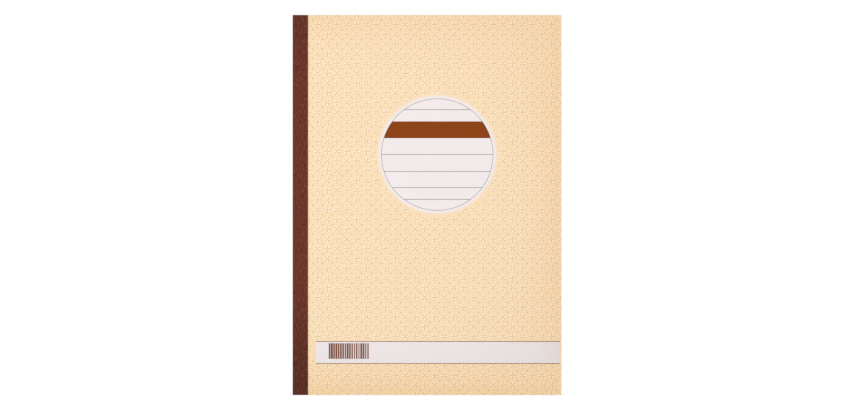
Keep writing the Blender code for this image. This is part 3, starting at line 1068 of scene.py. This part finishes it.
class ORDER_BOOK_OT_cover_label(bpy.types.Operator):
    """Print the round label: pale fill, thin ring, rules for writing on and a plain band"""

    bl_idname = "order_book.cover_label"
    bl_label = "Cover label"

    ring_points = 160
    band_end_steps = 12

    def execute(self, context):
        cover = context.scene.order_book_cover
        middle_x, middle_y = cover.label_x, cover.label_y
        inner, outer = cover.ring_radius - cover.ring_width / 2, cover.ring_radius + cover.ring_width / 2
        turns = [2 * math.pi * index / self.ring_points for index in range(self.ring_points)]

        def circle(radius):
            return [
                (middle_x + radius * math.cos(turn), middle_y + radius * math.sin(turn)) for turn in turns
            ]

        def half_chord(height):
            return math.sqrt(inner ** 2 - height ** 2)

        work = bmesh.new()
        add_prism(work, circle(cover.halo_radius), layer(*FILL_LAYERS))
        print_from("label_fill", work, "label paper", COVER, "cover_card")

        low_z, high_z = layer(RULE_LAYER)
        work = bmesh.new()
        rings = [
            add_ring(work, circle(radius), z)
            for radius, z in ((inner, low_z), (outer, low_z), (outer, high_z), (inner, high_z))
        ]
        for near, far in zip(rings, rings[1:] + rings[:1]):
            join_rings(work, near, far)
        bmesh.ops.recalc_face_normals(work, faces=work.faces)
        heights = (cover.rule_last, 0.0, -cover.rule_inner, -cover.rule_outer, -cover.rule_last)
        add_rules(work, layer(RULE_LAYER), cover.rule_width, [
            (middle_x - half_chord(height), middle_x + half_chord(height), middle_y + height)
            for height in heights
        ])
        print_from("label_rules", work, "rule ink", COVER, "cover_card")

        rise = (cover.band_top - cover.band_bottom) / self.band_end_steps
        heights = [cover.band_bottom + rise * step for step in range(self.band_end_steps + 1)]
        right = [(half_chord(height), height) for height in heights]
        left = [(-x, height) for x, height in reversed(right)]
        band = [(middle_x + x, middle_y + height) for x, height in right + left]
        work = bmesh.new()
        add_prism(work, band, layer(RULE_LAYER))
        print_from("label_band", work, "band ink", COVER, "cover_card")
        return {"FINISHED"}


class ORDER_BOOK_OT_cover_strip(bpy.types.Operator):
    """Print the pale strip near the foot, with its two rules and a block of plain bars"""

    bl_idname = "order_book.cover_strip"
    bl_label = "Cover strip"

    thinnest_bar = 0.42
    widest_bar = 0.95
    seed = 5

    def execute(self, context):
        cover = context.scene.order_book_cover
        left, right, bottom, top = cover.strip_left, cover.strip_right, cover.strip_bottom, cover.strip_top
        work = bmesh.new()
        add_film(work, layer(*FILL_LAYERS), left, bottom, right, top)
        print_from("strip_fill", work, "strip paper", COVER, "cover_card")

        low_z, high_z = rule_z = layer(RULE_LAYER)
        work = bmesh.new()
        add_rules(work, rule_z, cover.strip_rule_width, [(left, right, top), (left, right, bottom)])
        print_from("strip_rules", work, "strip ink", COVER, "cover_card")

        pitch = (cover.bars_right - cover.bars_left) / cover.bars
        middle_y = (cover.bars_top + cover.bars_bottom) / 2
        bars = grow("plain_bars", plain_bars_tree, {
            "Bars": cover.bars, "Pitch": pitch, "Height": cover.bars_top - cover.bars_bottom,
            "Low corner": (cover.bars_left + pitch / 2, middle_y, (low_z + high_z) / 2),
            "Thinnest": self.thinnest_bar, "Widest": self.widest_bar, "Seed": self.seed,
            "Depth": high_z - low_z, "Ink": material("bar ink"),
        })
        write_plan(bars)
        ride(bars, COVER, "cover_card")
        return {"FINISHED"}


class ORDER_BOOK_OT_spine_tape(bpy.types.Operator):
    """Make the book cloth tape, folded round the spine and raised a little over each staple's crown"""

    bl_idname = "order_book.spine_tape"
    bl_label = "Spine tape"

    thickness = 0.25 * MM
    outer_radius = 0.65 * MM
    corner_steps = 6
    flap_step = 0.6 * MM
    spine_step = 1.0 * MM
    height_step = 1.5 * MM

    def corner(self, centre_z, first_angle):
        """(place, outward direction) round a quarter turn."""
        centre_x = TAPE_LOW.x + self.outer_radius
        for step in range(self.corner_steps + 1):
            angle = first_angle + math.pi / 2 * step / self.corner_steps
            way = (math.cos(angle), math.sin(angle))
            yield (centre_x + self.outer_radius * way[0], centre_z + self.outer_radius * way[1]), way

    def profile(self):
        """(place, outward direction) along the tape's outer side, from its front edge to its back edge."""
        low, high, radius = TAPE_LOW, TAPE_HIGH, self.outer_radius
        flap = lines_between(low.x + radius, high.x, self.flap_step)
        spine = lines_between(low.z + radius, high.z - radius, self.spine_step)
        return [
            *(((x, high.z), (0.0, 1.0)) for x in reversed(flap)),
            *list(self.corner(high.z - radius, math.pi / 2))[1:],
            *(((low.x, z), (-1.0, 0.0)) for z in reversed(spine[1:-1])),
            *self.corner(low.z + radius, math.pi),
            *(((x, low.z), (0.0, -1.0)) for x in flap[1:]),
        ]

    def bulge(self, tape, crowns, x, y):
        """How far the cloth is lifted at a place on the front by the nearest crown."""
        away = min(
            math.hypot(max(low.x - x, x - high.x, 0.0), max(low.y - y, y - high.y, 0.0))
            for low, high in crowns
        )
        return tape.staple_bulge * smooth(1.0 - away / tape.bulge_reach)

    def execute(self, context):
        tape = context.scene.order_book_tape
        crowns = [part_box("staple_" + name) for name in ("head", "middle", "foot")]
        stations = self.profile()
        runs = [0.0]
        for (here, _), (there, _) in zip(stations, stations[1:]):
            runs.append(runs[-1] + math.dist(here, there))
        work = bmesh.new()
        wrap = work.loops.layers.uv.new("wrap")
        where = {}
        rings = []
        for y in lines_between(-HEAD_Y, HEAD_Y, self.height_step):
            outer, inner = [], []
            for side, inset in ((outer, 0.0), (inner, self.thickness)):
                for run, ((x, z), (way_x, way_z)) in zip(runs, stations):
                    raised = self.bulge(tape, crowns, x, y) if way_z == 1.0 else 0.0
                    side.append(work.verts.new((x - way_x * inset, y, z - way_z * inset + raised)))
                    where[side[-1]] = (run, y)
            rings.append(outer + inner[::-1])
        for near, far in zip(rings, rings[1:]):
            join_rings(work, near, far)
        for ring in (rings[0], rings[-1]):
            for index in range(len(stations) - 1):
                work.faces.new((ring[index], ring[index + 1], ring[-2 - index], ring[-1 - index]))
        bmesh.ops.recalc_face_normals(work, faces=work.faces)
        for face in work.faces:
            for loop in face.loops:
                loop[wrap].uv = where[loop.vert]
        piece = piece_from("cloth_tape", work, material("book cloth"))
        shade_round(piece)
        ride(piece, BINDING, "book_cloth", "spine_tape")
        return {"FINISHED"}


class ORDER_BOOK_OT_first_set(bpy.types.Operator):
    """Make the first original and its copy, from under the tape to the fore-edge"""

    bl_idname = "order_book.first_set"
    bl_label = "First set"

    def execute(self, context):
        copy_paper, paper = material("bent copy paper"), material("bent original paper")
        margin_z, leaf_z = (COPY_MARGIN_LOW.z, COPY_MARGIN_HIGH.z), (COPY_LOW.z, COPY_HIGH.z)
        copy = bound_leaf("copy_sheet", COPY_MARGIN_LOW.x, FORE_EDGE_X, margin_z, leaf_z, copy_paper)
        bend(copy, BINDING, COPY, COPY_MARGIN_LOW.x, COPY_LOW.x, "copy_paper", "copy_1", "copy_1_margin")

        margin_z = (ORIGINAL_MARGIN_LOW.z, ORIGINAL_MARGIN_HIGH.z)
        leaf_z = (ORIGINAL_LOW.z, ORIGINAL_HIGH.z)
        middle_x = (BEND_START_X + STRIP_LOW.x) / 2
        for name, first, last, fixed, turning, *node in (
            ("original_bound", ORIGINAL_MARGIN_LOW.x, middle_x, BINDING, COPY, "original_1_margin"),
            ("original_crease", middle_x, STRIP_LOW.x, COPY, ORIGINAL),
        ):
            piece = bound_leaf(name, first, last, margin_z, leaf_z, paper)
            bend(piece, fixed, turning, first, last, "original_paper", *node)
        strip = laid_leaf("original_strip", "original_1_strip", leaf_z[0] - margin_z[0], paper)
        ride(strip, ORIGINAL, "original_paper", "original_1_strip")
        dress("original_1_sheet", "original paper")
        return {"FINISHED"}


class ORDER_BOOK_OT_printed_form(bpy.types.Operator):
    """Print the plain order form on the first original, its copy and the top sheet of the bound sets"""

    bl_idname = "order_book.printed_form"
    bl_label = "Printed form"

    left = -84.0 * MM
    right = 98.0 * MM
    top = 138.0 * MM
    bottom = -138.0 * MM
    box_height = 40.0 * MM
    box_gap = 6.0 * MM
    box_split = 10.0 * MM
    box_lines = 5
    line_inset = 4.0 * MM
    foot_lines = 3
    heading_height = 9.0 * MM
    total_height = 9.0 * MM
    columns = (22.0 * MM, 98.0 * MM, 120.0 * MM, 150.0 * MM)

    def execute(self, context):
        sheets = context.scene.order_book_sheets
        wide, thin = sheets.frame_width, sheets.rule_width
        left, right, top, bottom = self.left, self.right, self.top, self.bottom
        middle_x = (left + right) / 2
        left_box_end, right_box = middle_x - self.box_split / 2, middle_x + self.box_split / 2
        box_bottom = top - self.box_height
        table_top = box_bottom - self.box_gap
        rows_top = table_top - self.heading_height
        rows_bottom = rows_top - sheets.rows * sheets.row_pitch
        total_left, total_bottom = left + self.columns[-1], rows_bottom - self.total_height
        foot_top = total_bottom - self.box_gap
        total = (total_left, total_bottom, right, rows_bottom)
        boxes = (
            (left, box_bottom, left_box_end, top), (right_box, box_bottom, right, top),
            (left, rows_bottom, right, table_top), total, (left, bottom, left_box_end, foot_top),
        )
        address_left, address_right = right_box + self.line_inset, right - self.line_inset
        address_lines = [
            (address_left, address_right, top - self.box_height * line / self.box_lines)
            for line in range(1, self.box_lines)
        ]
        signing_lines = [
            (right_box, right, foot_top + (bottom - foot_top) * line / self.foot_lines)
            for line in range(1, self.foot_lines + 1)
        ]
        column_rules = [(left + column, rows_bottom, table_top) for column in self.columns]

        for name, body, paper_z, slot in (
            ("form_on_original", TORN_SHEET, ORIGINAL_HIGH.z, "original_paper"),
            ("form_on_copy", COPY, COPY_HIGH.z, "copy_paper"),
            ("form_on_bound_sets", BINDING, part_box("sets_02_to_08")[1].z, "set_paper"),
        ):
            tint_z = (paper_z - INK_SUNK, paper_z + INK_DEPTH / 2)
            ink_z = (paper_z - INK_SUNK, paper_z + INK_DEPTH)
            work = bmesh.new()
            for area in ((left, rows_top, right, table_top), total):
                add_film(work, tint_z, *area)
            print_from(name + "_tint", work, "form tint", body, slot)

            work = bmesh.new()
            half = wide / 2
            for x_low, y_low, x_high, y_high in boxes:
                add_rules(
                    work, ink_z, wide, [(x_low - half, x_high + half, y) for y in (y_low, y_high)],
                    [(x, y_low + half, y_high - half) for x in (x_low, x_high)],
                )
            add_rules(work, ink_z, wide, [(left, right, rows_top)])
            add_rules(work, ink_z, thin, address_lines + signing_lines, column_rules)
            print_from(name + "_frame", work, "form ink", body, slot)

            rules = grow(name + "_rows", form_rows_tree, {
                "Rules": sheets.rows - 1, "Pitch": sheets.row_pitch, "Ink": material("form ink"),
                "First rule": (middle_x, rows_top - sheets.row_pitch, (ink_z[0] + ink_z[1]) / 2),
                "Rule size": (right - left, thin, ink_z[1] - ink_z[0]),
            })
            write_plan(rules)
            ride(rules, body, slot)
        return {"FINISHED"}


class ORDER_BOOK_OT_bound_sets(bpy.types.Operator):
    """Make every sheet of the bound sets, white originals and yellow copies in turn"""

    bl_idname = "order_book.bound_sets"
    bl_label = "Bound sets"

    # A sheet fills this share of its pitch, so no two sheets touch
    sheet_share = 0.94
    sheets_in_set = 2

    def execute(self, context):
        sheets = context.scene.order_book_sheets
        groups = sorted(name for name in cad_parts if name.startswith("sets_"))
        for index, node in enumerate(groups):
            low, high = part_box(node)
            first, last = (int(word) for word in node.split("_")[1::2])
            number = (last - first + 1) * self.sheets_in_set
            pitch = (high.z - low.z) / number
            pile = grow("sheets_" + node.removeprefix("sets_"), sheet_pile_tree, {
                "Sheets": number, "Low corner": low[:], "Pitch": pitch, "Seed": index,
                "Sheet size": (high.x - low.x, high.y - low.y, pitch * self.sheet_share),
                "Scatter": (sheets.trim_scatter, sheets.trim_scatter, 0.0),
                "Original": material("original paper"), "Copy": material("copy paper"),
            })
            ride(pile, BINDING, "set_paper", node)
        return {"FINISHED"}


class ORDER_BOOK_OT_board_and_shield(bpy.types.Operator):
    """Finish the back cover's grey board and the loose writing shield"""

    bl_idname = "order_book.board_and_shield"
    bl_label = "Board and shield"

    def execute(self, context):
        dress("back_cover", "grey board")
        dress("writing_shield", "shield card")
        return {"FINISHED"}


class ORDER_BOOK_OT_wire_and_glue(bpy.types.Operator):
    """Finish the staples and the film of glue on the spine, which the tape hides"""

    bl_idname = "order_book.wire_and_glue"
    bl_label = "Wire and glue"

    def execute(self, context):
        for name in ("head", "middle", "foot"):
            dress("staple_" + name, "staple wire")
        dress("spine_glue", "dried glue")
        return {"FINISHED"}


class ORDER_BOOK_OT_stage(bpy.types.Operator):
    """Set the camera straight above the cover, the soft lamp, the white surroundings and the floor"""

    bl_idname = "order_book.stage"
    bl_label = "Stage"

    sensor_width = 36.0
    floor_side = 12.0
    floor_gap = 0.05 * MM
    floor_overlap = 1.5 * MM
    floor_tone = 0.86
    floor_glow = 0.93
    shown_white = 1.02

    def shown_ray(self, tree):
        """1 for a ray that shows the background: from the camera, by a gloss or through glass."""
        rays = add(tree, "ShaderNodeLightPath").outputs
        indirect = plus(tree, rays["Is Glossy Ray"], rays["Is Transmission Ray"], clamp=True)
        return plus(tree, rays["Is Camera Ray"], indirect, clamp=True)

    def camera(self, scene, stage):
        data = bpy.data.cameras.new("camera")
        data.sensor_width = self.sensor_width
        data.lens = data.sensor_width * stage.camera_height / stage.seen_width
        obj = bpy.data.objects.new("camera", data)
        scene.collection.objects.link(obj)
        obj.location = (0.0, 0.0, COVER_HIGH.z + stage.camera_height)
        scene.camera = obj

    def lamp(self, scene, stage):
        data = bpy.data.lights.new("soft lamp", "AREA")
        data.size = stage.lamp_size
        data.energy = stage.lamp_power
        obj = bpy.data.objects.new("soft lamp", data)
        scene.collection.objects.link(obj)
        obj.location = (stage.lamp_x, stage.lamp_y, stage.lamp_height)

    def surroundings(self, scene, stage):
        world = bpy.data.worlds.new("white surroundings")
        world.use_nodes = True
        tree = world.node_tree
        background = tree.nodes["Background"].inputs
        background["Color"].default_value = (1.0, 1.0, 1.0, 1.0)
        strength = add(tree, "ShaderNodeMix", {
            "Factor": self.shown_ray(tree), "A": stage.surround, "B": self.shown_white,
        }, data_type="FLOAT")
        tree.links.new(strength.outputs[0], background["Strength"])
        scene.world = world

    def floor_material(self):
        """White to the camera, matt to the lamp, and see-through from below."""
        made, tree, shader = new_material("white floor", 0.9, specular=0.0)
        shader.inputs["Base Color"].default_value = (self.floor_tone, self.floor_tone, self.floor_tone, 1.0)
        glow = add(tree, "ShaderNodeEmission", {"Strength": self.shown_white})
        from_above = add(tree, "ShaderNodeMixShader", {
            0: times(tree, self.shown_ray(tree), self.floor_glow), 1: shader.outputs[0], 2: glow.outputs[0],
        })
        both_sides = add(tree, "ShaderNodeMixShader", {
            0: add(tree, "ShaderNodeNewGeometry").outputs["Backfacing"],
            1: from_above.outputs[0], 2: add(tree, "ShaderNodeBsdfTransparent").outputs[0],
        })
        tree.links.new(both_sides.outputs[0], tree.nodes["Material Output"].inputs["Surface"])
        return made

    def floor(self):
        """The floor all round the book, open where the book lies, so that light reaches the underside."""
        _, high = CAD_BOX
        work = bmesh.new()
        outer, inner = (
            add_ring(work, [(-x, -y), (x, -y), (x, y), (-x, y)], -self.floor_gap)
            for x, y in (
                (self.floor_side / 2, self.floor_side / 2),
                (high.x - self.floor_overlap, high.y - self.floor_overlap),
            )
        )
        join_rings(work, outer, inner)
        piece_from("floor", work, self.floor_material())

    def execute(self, context):
        scene = context.scene
        stage = scene.order_book_stage
        scene.view_settings.view_transform = "Standard"
        self.camera(scene, stage)
        self.lamp(scene, stage)
        self.surroundings(scene, stage)
        self.floor()
        return {"FINISHED"}


class ORDER_BOOK_PT_panel(bpy.types.Panel):
    """Lists the order book's settings and steps"""

    bl_idname = "ORDER_BOOK_PT_panel"
    bl_label = "Order book"
    bl_space_type = "VIEW_3D"
    bl_region_type = "UI"
    bl_category = "Order book"

    def draw(self, context):
        for name in SETTINGS:
            box = self.layout.box()
            group = getattr(context.scene, name)
            for prop in group.__annotations__:
                box.prop(group, prop)
        for step in STEPS:
            self.layout.operator(step.bl_idname)


SETTINGS = {
    "order_book_cover": OrderBookCoverSettings,
    "order_book_tape": OrderBookTapeSettings,
    "order_book_sheets": OrderBookSheetSettings,
    "order_book_stage": OrderBookStageSettings,
}
STEPS = (
    ORDER_BOOK_OT_stage,
    ORDER_BOOK_OT_front_cover,
    ORDER_BOOK_OT_cover_ornament,
    ORDER_BOOK_OT_cover_label,
    ORDER_BOOK_OT_cover_strip,
    ORDER_BOOK_OT_spine_tape,
    ORDER_BOOK_OT_first_set,
    ORDER_BOOK_OT_printed_form,
    ORDER_BOOK_OT_bound_sets,
    ORDER_BOOK_OT_board_and_shield,
    ORDER_BOOK_OT_wire_and_glue,
)
CLASSES = (*SETTINGS.values(), *STEPS, ORDER_BOOK_PT_panel)


def register():
    for each in CLASSES:
        bpy.utils.register_class(each)
    for name, group in SETTINGS.items():
        setattr(bpy.types.Scene, name, PointerProperty(type=group))


def unregister():
    for name in SETTINGS:
        delattr(bpy.types.Scene, name)
    for each in reversed(CLASSES):
        bpy.utils.unregister_class(each)


def main():
    register()
    for step in STEPS:
        group, name = step.bl_idname.split(".")
        getattr(getattr(bpy.ops, group), name)()


if __name__ == "__main__":
    main()
